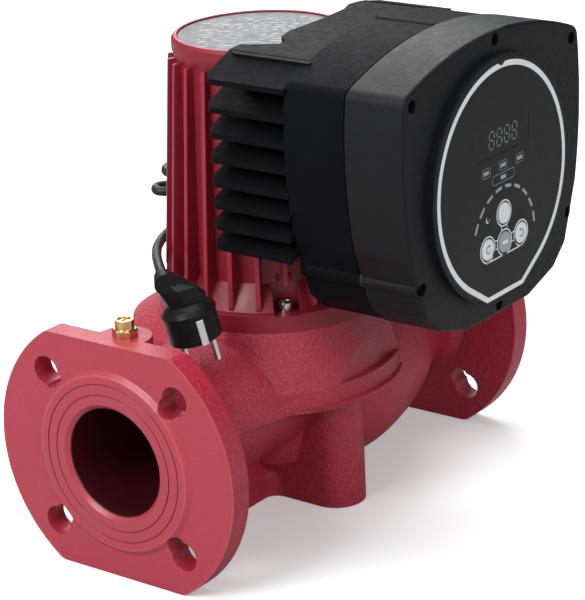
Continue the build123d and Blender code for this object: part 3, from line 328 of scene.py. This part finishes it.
def printed_plate():
    """Dark grey plate with rows of plain light bars where the printing would be."""
    m = Nodes("printed_plate", rough=0.46, metallic=0.1, specular=0.3)
    x = m.part(0)
    y = m.part(1)
    across = m.math("ADD", m.math("MULTIPLY", x, 0.607), m.math("MULTIPLY", y, -0.794))
    along = m.math("ADD", m.math("MULTIPLY", x, 0.794), m.math("MULTIPLY", y, 0.607))
    row = m.math("FRACT", m.math("MULTIPLY", along, 165.0))
    line = m.math("MULTIPLY", m.ramp(row, 0.32, 0.38), m.ramp(row, 0.74, 0.68))
    dash = m.noise(240, 0, 0.5)
    inked = m.math("MULTIPLY", line, m.ramp(dash, 0.50, 0.53))
    side = m.math("ABSOLUTE", across)
    inked = m.math("MULTIPLY", inked, m.ramp(side, 0.040, 0.038))
    inked = m.math("MULTIPLY", inked, m.ramp(m.math("ABSOLUTE", along), 0.040, 0.038))
    base = m.mix(m.noise(60, 4), (0.055, 0.058, 0.064), (0.080, 0.084, 0.092))
    m.wire(m.mix(inked, base, (0.24, 0.25, 0.262)), "Base Color")
    m.wire(m.ramp(m.noise(140, 3), 0.3, 0.7, 0.36, 0.48), "Roughness")
    m.bump(m.noise(900, 3), 0.12, 0.0001)
    return m.material


def enamel_copper():
    m = Nodes("enamel_copper", rough=0.35, metallic=0.8)
    strand = m.math("SINE", m.math("MULTIPLY", m.part(2), 6000.0))
    m.wire(m.mix(m.ramp(strand, -1, 1), (0.30, 0.09, 0.03), (0.62, 0.25, 0.10)), "Base Color")
    m.bump(strand, 0.3, 0.0004)
    return m.material


def laminations():
    m = Nodes("laminations", rough=0.4, metallic=0.9)
    sheet = m.math("SINE", m.math("MULTIPLY", m.part(2), 12000.0))
    m.wire(m.mix(m.ramp(sheet, -1, 1), (0.14, 0.14, 0.15), (0.36, 0.37, 0.39)), "Base Color")
    m.bump(sheet, 0.3, 0.0002)
    return m.material


def circuit_board():
    m = Nodes("circuit_board", rough=0.35)
    lanes = m.math("SINE", m.math("MULTIPLY", m.part(0), 2200.0))
    rows = m.math("SINE", m.math("MULTIPLY", m.part(2), 1400.0))
    track = m.ramp(m.math("MAXIMUM", lanes, rows), 0.86, 0.95)
    m.wire(m.mix(track, (0.012, 0.095, 0.045), (0.03, 0.20, 0.09)), "Base Color")
    m.wire(m.ramp(m.noise(300, 3), 0.3, 0.7, 0.28, 0.42), "Roughness")
    m.bump(track, 0.25, 0.00006)
    return m.material


IRON = painted_iron()
ALLOY = painted_alloy()
CASE = plastic(
    "case_coating", (0.0036, 0.0039, 0.0046), (0.0060, 0.0064, 0.0074), 0.50, 1300, 0.70, 0.0005, 0.035
)
COVER = plastic(
    "cover_plastic", (0.0066, 0.0070, 0.0080), (0.0095, 0.0100, 0.0112), 0.42, 1500, 0.55, 0.00035, 0.18
)
FOIL = plastic(
    "panel_print", (0.0070, 0.0074, 0.0086), (0.0095, 0.0100, 0.0114), 0.34, 2600, 0.10, 0.0001, 0.22
)
GASKET = rubber("gasket_rubber", (0.010, 0.010, 0.010), (0.018, 0.018, 0.018), 0.7)
STEEL = metal("bright_steel", (0.42, 0.42, 0.43), (0.68, 0.68, 0.70), 0.22, (1, 1, 8))
BLACK_STEEL = metal("black_steel", (0.020, 0.020, 0.022), (0.055, 0.055, 0.060), 0.42)
BRASS = metal("turned_brass", (0.60, 0.42, 0.16), (0.85, 0.66, 0.34), 0.26, (1, 1, 12), 260)
PLATE = printed_plate()
GLASS = plastic(
    "smoked_window", (0.0065, 0.0068, 0.0078), (0.0085, 0.0090, 0.0104), 0.30, 900, 0.04, 0.0001, 0.22
)
LAMP = plastic("lamp_diffuser", (0.30, 0.31, 0.32), (0.42, 0.43, 0.44), 0.45, 1200, 0.1)
WHITE_PRINT = plastic("white_print", (0.80, 0.81, 0.82), (0.88, 0.89, 0.90), 0.5, 1400, 0.12, 0.00005)
GREY_PRINT = plastic("grey_print", (0.20, 0.205, 0.21), (0.30, 0.305, 0.31), 0.5, 1400, 0.12, 0.00005)
KEY_GREY = plastic("key_grey", (0.33, 0.34, 0.35), (0.42, 0.43, 0.44), 0.42, 1500, 0.15, 0.0001)
KEY_WHITE = plastic("key_white", (0.78, 0.79, 0.80), (0.86, 0.87, 0.88), 0.42, 1500, 0.15, 0.0001)
MODULE = plastic("black_component", (0.018, 0.018, 0.020), (0.036, 0.036, 0.040), 0.5, 1200)
TERMINAL = plastic("grey_component", (0.30, 0.32, 0.31), (0.42, 0.44, 0.43), 0.45, 1200)
SLEEVE = plastic("blue_sleeve", (0.015, 0.025, 0.10), (0.03, 0.04, 0.16), 0.25, 500, 0.05)
BOARD = circuit_board()
RIBBON = plastic("ribbon", (0.34, 0.34, 0.36), (0.46, 0.46, 0.48), 0.5, 900)
LEADS = rubber("lead_insulation", (0.05, 0.045, 0.045), (0.09, 0.08, 0.08), 0.5)
CORE = laminations()
COPPER = enamel_copper()
CAN = metal("drawn_steel", (0.40, 0.41, 0.42), (0.62, 0.63, 0.65), 0.28, (1, 1, 6))
ROTOR = metal("coated_rotor", (0.05, 0.05, 0.055), (0.12, 0.12, 0.13), 0.45)
CERAMIC = plastic("ceramic", (0.66, 0.65, 0.60), (0.76, 0.75, 0.70), 0.16, 700, 0.05)
CARBON = plastic("carbon", (0.03, 0.03, 0.034), (0.07, 0.07, 0.075), 0.38, 1000)
GLAND = plastic("gland_plastic", (0.016, 0.016, 0.018), (0.028, 0.028, 0.031), 0.45, 1200)
SHEATH = rubber("cord_sheath", (0.010, 0.010, 0.011), (0.020, 0.020, 0.022), 0.44, 0.3)
PLUG = rubber("plug_moulding", (0.0045, 0.0045, 0.0050), (0.0095, 0.0095, 0.0105), 0.38, 0.20)
TIE = plastic("tie_plastic", (0.014, 0.014, 0.015), (0.024, 0.024, 0.026), 0.4, 900)
NICKEL = metal("nickel", (0.66, 0.65, 0.63), (0.84, 0.83, 0.81), 0.16, None, 200, 0.06)

LOOKS = {
    IRON: ("pump_housing",),
    ALLOY: ("motor_housing",),
    CASE: ("rear_case",),
    COVER: ("front_cover",),
    GASKET: ("cover_gasket", "housing_oring"),
    STEEL: (
        "motor_screws",
        "case_screws",
        "board_screws",
        "display_screws",
        "terminal_screws",
        "impeller_nut",
    ),
    BLACK_STEEL: ("cover_screws",),
    PLATE: ("type_plate",),
    BRASS: ("vent_fitting", "vent_screw"),
    FOIL: ("panel_foil",),
    GLASS: ("display_window",),
    LAMP: ("mode_lamps", "level_lamps"),
    KEY_GREY: ("button_enter",),
    KEY_WHITE: ("button_up", "button_left", "button_right"),
    BOARD: ("display_board", "power_board"),
    MODULE: ("display_module", "key_switches", "power_module", "choke"),
    SLEEVE: ("capacitors",),
    TERMINAL: ("terminal_block",),
    RIBBON: ("ribbon_cable",),
    LEADS: ("motor_leads", "cord_cores"),
    CORE: ("stator_core",),
    COPPER: ("stator_windings",),
    CAN: ("rotor_can", "bearing_plate", "impeller", "neck_ring"),
    ROTOR: ("rotor_core",),
    CERAMIC: ("shaft", "thrust_ring"),
    CARBON: ("lower_bearing", "upper_bearing", "thrust_bearing"),
    GLAND: ("cable_gland", "gland_nut"),
    PLUG: ("plug_body",),
    TIE: ("cord_tie",),
    NICKEL: ("plug_pins", "plug_earth_clips"),
}
for look, names in LOOKS.items():
    for name in names:
        data = NODES[name].data
        data.materials.clear()
        data.materials.append(look)

# =============================================================================
# Mains cord
# =============================================================================
CORD_D = 0.0065
CORD_START = mm(75, -90, 190)
# Hank turns from the top: height, left end, right end and width of the left fold.
HANK_ROWS = (
    (205.6, -59.5, 28.0, 14.0),
    (198.9, -69.3, 29.5, 21.0),
    (192.3, -61.0, 30.0, 14.0),
    (185.6, -77.0, 29.0, 14.5),
)
HANK_LAST = 179.4
HANK_MIDDLE = 84.5
FRONT = 77.5
REAR = 91.5


def hank_turn(height, left, right, fold, low):
    """One turn: along the front, round the left end, back behind, round the right end."""
    middle = (left + right) / 2
    drop = height - low
    near = HANK_MIDDLE - fold / 2
    far = HANK_MIDDLE + fold / 2
    half = (REAR - FRONT) / 2
    return [
        spot(FRONT + 0.2, middle + 12, height - 0.1),
        spot(FRONT - 0.1, middle - 14, height + 0.1),
        spot(near, left + fold * 0.72, height - 0.2),
        spot(near + fold * 0.08, left + fold * 0.16, height - 0.1),
        spot(HANK_MIDDLE - fold * 0.2, left - 0.2, height + 0.1),
        spot(HANK_MIDDLE + fold * 0.2, left - 0.2, height + 0.3),
        spot(far - fold * 0.08, left + fold * 0.16, height + 0.3),
        spot(far, left + fold * 0.72, height + 0.1),
        spot(REAR + 0.1, middle - 12, height - 0.2),
        spot(REAR - 0.2, middle + 13, height + 0.1),
        spot(REAR, right - half * 1.4, height - drop * 0.08),
        spot(HANK_MIDDLE + half * 0.42, right, height - drop * 0.33),
        spot(HANK_MIDDLE - half * 0.42, right, height - drop * 0.67),
        spot(FRONT, right - half * 1.4, height - drop * 0.92),
    ]


RELIEF_END = spot(-101, -66.3, 187)
RELIEF_NEXT = spot(-84, -69, 188)
cord_points = [
    CORD_START,
    mm(75, -62, 190),
    mm(75, -36, 190.6),
    mm(81, 8, 200),
    spot(78, 22, 205),
]
heights = [row[0] for row in HANK_ROWS[1:]] + [HANK_LAST]
for row, following in zip(HANK_ROWS, heights):
    cord_points += hank_turn(*row, following)
cord_points += [
    spot(77.5, -12, 179.4),
    spot(64, -50, 175),
    spot(27, -69.4, 172.5),
    spot(0, -74.2, 172.6),
    spot(-30, -73.2, 177.5),
    spot(-62, -71.2, 185),
    RELIEF_NEXT,
    RELIEF_END,
]
cord_curve = bpy.data.curves.new("mains_cord", "CURVE")
cord_curve.dimensions = "3D"
cord_curve.bevel_depth = CORD_D / 2
cord_curve.bevel_resolution = 5
cord_curve.resolution_u = 10
cord_curve.use_fill_caps = True
spline = cord_curve.splines.new("NURBS")
spline.points.add(len(cord_points) - 1)
for point, place in zip(spline.points, cord_points):
    point.co = (*place, 1)
spline.order_u = 3
spline.use_endpoint_u = True
mains_cord = link(bpy.data.objects.new("mains_cord", cord_curve), "pump", SHEATH)
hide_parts("cord_lead", "cord_tail", "cord_hank")

# Plug: its own frame has x along the pins, y towards the near earth clip and h up from the face.
PLUG_FACE = mm(-111.3, -25.1, 146.5)
PLUG_DOWN = Vector((0.127, -0.167, -0.976)).normalized()
PLUG_X = Vector((0.86, -0.509, 0.199)).normalized()
PLUG_Y = PLUG_DOWN.cross(PLUG_X)
PLUG_R = 16.6


def plug_point(x, y, h):
    """A point of the plug in its own frame, given in millimetres."""
    return PLUG_FACE + (PLUG_X * x + PLUG_Y * y - PLUG_DOWN * h) / 1000


def clip_slot(angle):
    """True where the side groove of an earth clip runs."""
    return abs(abs(angle) - 90) < 8.6


def build_plug_base(bm):
    """Round contact body with the two side grooves, its collar and the cone on top."""
    slot_edges = {-98.7, -98.5, -81.5, -81.3, 81.3, 81.5, 98.5, 98.7}
    angles = sorted(set(range(-180, 180, 5)) | slot_edges)
    profile = [(0, 15.6), (0.4, 16.3), (1.0, PLUG_R), (16.4, PLUG_R), (16.5, PLUG_R), (17.3, PLUG_R)]
    profile += [(17.5, 17.0), (17.9, 17.3), (19.6, 17.3), (20.1, 16.9), (22.2, 14.8), (25, 11)]
    rings = []
    for h, radius in profile:
        ring = []
        for angle in angles:
            r = min(radius, 15.5) if h < 16.45 and clip_slot(angle) else radius
            ring.append(plug_point(r * math.cos(math.radians(angle)), r * math.sin(math.radians(angle)), h))
        rings.append(ring)
    loft(bm, rings)


plug_base = mesh_piece("plug_base", build_plug_base, "pump", PLUG)
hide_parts("plug_body")


def build_plug_grip(bm):
    """Angled grip: a block on the collar that leans over to the sleeve of the cord."""
    front = [(-2, 8.6, 18.5), (10, 8.4, 18.5), (11.8, 8, 29)]
    front += [(6.9, 9.3, 34.7), (-6.2, 9.5, 35.6), (-3.4, 8.8, 24.3)]
    left = [(-9.5, 2.5, 19), (-10.6, 3, 27), (-16.2, 3.5, 39), (-16, 1, 46), (-12.5, 5.5, 45.5)]
    rear = [(-9, -8, 19), (10, -8.4, 18.5), (11.6, -8, 30.5), (3, -8, 39.5), (-10.6, -4, 27), (-8, -6, 37)]
    top = [(-14.5, 2, 48.5), (-6.5, 1, 48.5), (-4, 0, 46.5), (-2.5, -3, 45.6)]
    for x, y, h in front + left + rear + top:
        bm.verts.new(plug_point(x, y, h))
    hull = bmesh.ops.convex_hull(bm, input=bm.verts)
    bmesh.ops.delete(bm, geom=hull["geom_interior"], context="VERTS")


plug_grip = mesh_piece("plug_grip", build_plug_grip, "pump", PLUG, smooth=True)
remesh = plug_grip.modifiers.new("skin", "REMESH")
remesh.mode = "VOXEL"
remesh.voxel_size = 0.0005
remesh.use_smooth_shade = True
soften = plug_grip.modifiers.new("soften", "SMOOTH")
soften.factor = 0.5
soften.iterations = 5

# Ribbed sleeve that the cord comes out of.
RELIEF_DIR = (RELIEF_NEXT - RELIEF_END).normalized()


def build_relief(bm):
    """Tapered sleeve of five collars with cut slots between them."""
    along_side = RELIEF_DIR.cross(Vector((0, 0, 1))).normalized()
    along_top = along_side.cross(RELIEF_DIR).normalized()
    start = RELIEF_END - RELIEF_DIR * 0.0135
    profile = [(0.0, 6.9)]
    at = 0.5
    for collar in range(5):
        big = 6.7 - collar * 0.28
        small = big - 1.35
        profile += [(at, big), (at + 1.3, big), (at + 1.5, big - 0.3), (at + 1.6, small)]
        profile += [(at + 2.4, small), (at + 2.5, big - 0.5)]
        at += 2.7
    profile += [(at, 5.0), (at + 0.6, 4.5), (at + 0.9, 3.5)]
    rings = []
    for along, radius in profile:
        centre = start + RELIEF_DIR * (along / 1000)
        ring = []
        for i in range(40):
            angle = math.tau * i / 40
            ring.append(centre + (along_side * math.cos(angle) + along_top * math.sin(angle)) * radius / 1000)
        rings.append(ring)
    loft(bm, rings)


plug_relief = mesh_piece("plug_relief", build_relief, "pump", PLUG)

# =============================================================================
# Printed marks of the panel
# =============================================================================
PANEL_Y = -0.1800
PRINT = 0.00006
PRINT_ROOT = 0.0002
KEY_PRINT = 0.00012
PANEL_Z = 241.3


def flat(bm, outline, front=PANEL_Y, thick=PRINT):
    """A thin printed shape: the outline is in millimetres across and up."""
    rings = []
    for y in (front + PRINT_ROOT, front - thick):
        rings.append([Vector((x / 1000, y, z / 1000)) for x, z in outline])
    loft(bm, rings)


def arc(radius, start, end, centre=(0.0, 0.0), steps=24):
    """Points along an arc, its angles in degrees."""
    angles = [math.radians(start + (end - start) * i / steps) for i in range(steps + 1)]
    return [(centre[0] + radius * math.cos(a), centre[1] + radius * math.sin(a)) for a in angles]


def ring_outline(radius, foot_x, foot_drop):
    """Round outline closed by a flat at the bottom."""
    points = arc(radius, -59.2, 239.2, (0, PANEL_Z), 90)
    return points + [(-foot_x, PANEL_Z - foot_drop), (foot_x, PANEL_Z - foot_drop)]


def closed_band(bm, outer, inner):
    """A printed band between two closed outlines with the same number of points."""
    front, rear = PANEL_Y - PRINT, PANEL_Y + PRINT_ROOT
    rings = {}
    for key, outline in (("o", outer), ("i", inner)):
        for level, y in (("f", front), ("r", rear)):
            rings[key + level] = [bm.verts.new((x / 1000, y, z / 1000)) for x, z in outline]
    count = len(outer)
    for i in range(count):
        j = (i + 1) % count
        for a, b in (("of", "if"), ("or", "of"), ("ir", "or"), ("if", "ir")):
            bm.faces.new((rings[a][i], rings[a][j], rings[b][j], rings[b][i]))


NOTCH_DEPTH = 70.4 / 72.7
NOTCH_FROM, NOTCH_TO = 89.4, 92.8


def build_ring(bm):
    """White ring with a flat foot and a small notch at the top."""
    outer = []
    for x, z in ring_outline(72.7, 20.6, 73.1):
        if NOTCH_FROM < math.degrees(math.atan2(z - PANEL_Z, x)) < NOTCH_TO:
            x, z = x * NOTCH_DEPTH, PANEL_Z + (z - PANEL_Z) * NOTCH_DEPTH
        outer.append((x, z))
    closed_band(bm, outer, ring_outline(69.2, 19.0, 70.0))


mesh_piece("panel_ring", build_ring, "pump", WHITE_PRINT)


def rounded(width, height, corner, centre, steps=4):
    """Outline of a rectangle with round corners."""
    points = []
    for sx, sz, start in ((1, 1, 0), (-1, 1, 90), (-1, -1, 180), (1, -1, 270)):
        middle = (centre[0] + sx * (width / 2 - corner), centre[1] + sz * (height / 2 - corner))
        points += arc(corner, start, start + 90, middle, steps)
    return points


KEYS = {"up": (0, 220), "enter": (0, 201.5), "left": (-19, 202), "right": (19, 202)}


def stroke(bm, a, b, width):
    """A straight printed line from a to b."""
    dx, dz = b[0] - a[0], b[1] - a[1]
    size = math.hypot(dx, dz)
    nx, nz = -dz / size * width / 2, dx / size * width / 2
    flat(bm, [(a[0] + nx, a[1] + nz), (b[0] + nx, b[1] + nz), (b[0] - nx, b[1] - nz), (a[0] - nx, a[1] - nz)])


def build_key_frame(bm):
    """Rings round the keys, joined by a tee and a straight base line."""
    for name, centre in KEYS.items():
        closed_band(bm, arc(8.5, 0, 350, centre, 35), arc(7.55, 0, 350, centre, 35))
    for sign in (-1, 1):
        stroke(bm, (sign * 3.0, 212.2), (sign * 3.0, 208.9), 0.8)
        stroke(bm, (sign * 7.9, 204.6), (sign * 11.1, 205.2), 0.8)
        stroke(bm, (sign * 8.2, 199.6), (sign * 10.9, 199.3), 0.8)
    stroke(bm, (-21.5, 193.6), (21.5, 193.6), 0.9)
    stroke(bm, (-10.9, 200.1), (-13.3, 196.2), 0.7)
    stroke(bm, (10.9, 200.1), (13.3, 196.2), 0.7)


mesh_piece("key_frame", build_key_frame, "pump", WHITE_PRINT)


def build_lamp_frames(bm):
    """Frames round the three mode lamps and the long one below them."""
    for x, z in ((-19, 250), (0, 250.5), (19, 250)):
        closed_band(bm, rounded(9.4, 6.0, 1.4, (x, z)), rounded(8.6, 5.2, 1.0, (x, z)))
    closed_band(bm, rounded(25.4, 6.4, 2.4, (0, 243)), rounded(24.4, 5.4, 1.9, (0, 243)))


mesh_piece("lamp_frames", build_lamp_frames, "pump", GREY_PRINT)


def build_moon(bm):
    """Small crescent: two arcs that meet at their tips."""
    cx, cz = -18.6, 220.4
    outer = arc(1.9, 130, 350, (cx, cz), 14)
    inner = arc(1.75, 350, 130, (cx + 0.95, cz + 0.65), 14)
    for i in range(14):
        flat(bm, [outer[i], outer[i + 1], inner[-i - 2], inner[-i - 1]])


mesh_piece("night_mark", build_moon, "pump", WHITE_PRINT)

WINDOW_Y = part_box("display_window")[0].y


def build_digits(bm):
    """Four unlit digits of seven bars each."""
    for digit in range(4):
        x0 = -12.3 + digit * 8.6
        w, h, t = 5.4, 10.4, 0.85
        lean = 0.08
        z0 = 268.7

        def bar(ax, az, bx, bz):
            dx, dz = bx - ax, bz - az
            size = math.hypot(dx, dz)
            ux, uz = dx / size, dz / size
            nx, nz = -uz * t / 2, ux * t / 2
            ends = [
                (ax, az),
                (ax + ux * t / 2 + nx, az + uz * t / 2 + nz),
                (bx - ux * t / 2 + nx, bz - uz * t / 2 + nz),
                (bx, bz),
                (bx - ux * t / 2 - nx, bz - uz * t / 2 - nz),
                (ax + ux * t / 2 - nx, az + uz * t / 2 - nz),
            ]
            flat(bm, [(x0 + x + z * lean, z0 + z) for x, z in ends], WINDOW_Y)

        g = 0.75
        for level in (-h / 2, 0, h / 2):
            bar(-w / 2 + g, level, w / 2 - g, level)
        for x in (-w / 2, w / 2):
            bar(x, -h / 2 + g, x, -g)
            bar(x, g, x, h / 2 - g)


mesh_piece("display_digits", build_digits, "pump", GREY_PRINT)


def key_front(name):
    """Where the front face of a key stands."""
    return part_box(name)[0].y


def build_enter_mark(bm):
    """Short thick bar on the middle key."""
    flat(bm, rounded(6.6, 2.1, 0.8, KEYS["enter"]), key_front("button_enter"), KEY_PRINT)


mesh_piece("enter_mark", build_enter_mark, "button_enter", WHITE_PRINT)


def turning_mark(centre, flip, front):
    """A three-quarter circle with an arrowhead."""

    def build(bm):
        for i in range(18):
            a, b = 60 + i * 15, 75 + i * 15
            quad = []
            for radius, angle in ((2.7, a), (2.7, b), (1.95, b), (1.95, a)):
                x = radius * math.cos(math.radians(angle)) * flip
                quad.append((centre[0] + x, centre[1] + radius * math.sin(math.radians(angle))))
            flat(bm, quad, front, KEY_PRINT)
        tip = [(0.15, 2.35), (1.7, 3.3), (1.9, 1.1)]
        flat(bm, [(centre[0] + x * flip, centre[1] + z) for x, z in tip], front, KEY_PRINT)

    return build


for key, flip in (("left", 1), ("right", -1)):
    front = key_front("button_" + key)
    mark = turning_mark(KEYS[key], flip, front)
    mesh_piece(key + "_mark", mark, "button_" + key, GREY_PRINT)

# =============================================================================
# Floor, light
# =============================================================================
SWEEP_START = 3.4
SWEEP_R = 2.2
SWEEP_STEPS = 24
FLOOR_HALF = 9
FLOOR_GAP = 0.0004


def build_floor(bm):
    """Floor that sweeps up behind the object."""
    curve = []
    for i in range(SWEEP_STEPS + 1):
        angle = i / SWEEP_STEPS * math.pi / 2
        curve.append((SWEEP_START + SWEEP_R * math.sin(angle), SWEEP_R * (1 - math.cos(angle))))
    line = [(-6.0, 0.0), (0.0, 0.0)] + curve + [(SWEEP_START + SWEEP_R, 7.0)]
    away = Vector((-BACK.x, -BACK.y, 0)).normalized()
    across = Vector((-away.y, away.x, 0))
    rings = []
    for sign in (-1, 1):
        shift = across * (sign * FLOOR_HALF)
        rings.append([away * d + shift + Vector((0, 0, h - FLOOR_GAP)) for d, h in line])
    loft(bm, rings, closed=False, caps=False)


floor_mesh = bpy.data.meshes.new("floor")
floor_bm = bmesh.new()
build_floor(floor_bm)
bmesh.ops.recalc_face_normals(floor_bm, faces=floor_bm.faces)
floor_bm.to_mesh(floor_mesh)
floor_bm.free()
for polygon in floor_mesh.polygons:
    polygon.use_smooth = True
floor = bpy.data.objects.new("floor", floor_mesh)
bpy.context.scene.collection.objects.link(floor)
floor_look = Nodes("floor", rough=0.75, specular=0.2)
seen = floor_look.add("ShaderNodeLightPath").outputs["Is Camera Ray"]
bounce = floor_look.mix(floor_look.noise(3, 2), (0.40, 0.40, 0.40), (0.44, 0.44, 0.44))
floor_look.wire(floor_look.mix(seen, bounce, (0.93, 0.93, 0.93)), "Base Color")
floor_look.set("Emission Color", (1, 1, 1, 1))
floor_look.wire(floor_look.math("MULTIPLY", seen, 0.22), "Emission Strength")
floor_mesh.materials.append(floor_look.material)

world = bpy.data.worlds.new("studio")
bpy.context.scene.world = world
world.use_nodes = True
world.node_tree.nodes["Background"].inputs["Color"].default_value = (0.95, 0.97, 1.0, 1)
world.node_tree.nodes["Background"].inputs["Strength"].default_value = 0.34


def area(name, place, aim, size, power):
    """A soft rectangular studio light."""
    data = bpy.data.lights.new(name, "AREA")
    data.shape = "RECTANGLE"
    data.size, data.size_y = size
    data.energy = power
    lamp = bpy.data.objects.new(name, data)
    bpy.context.scene.collection.objects.link(lamp)
    lamp.location = place
    lamp.rotation_mode = "QUATERNION"
    lamp.rotation_quaternion = (Vector(aim) - Vector(place)).to_track_quat("-Z", "Y")


area("key", (-2.0, 0.3, 1.7), (0, 0, 0.15), (1.1, 1.4), 50)
area("top", (0.3, 0.5, 2.3), (0, 0, 0.2), (1.8, 1.8), 40)
area("front", (-0.9, -2.3, 1.5), (0, -0.05, 0.15), (1.4, 1.0), 24)
area("rim", (1.5, 1.5, 1.2), (0, 0, 0.2), (1.2, 1.2), 16)

bpy.context.scene.view_settings.view_transform = "Standard"
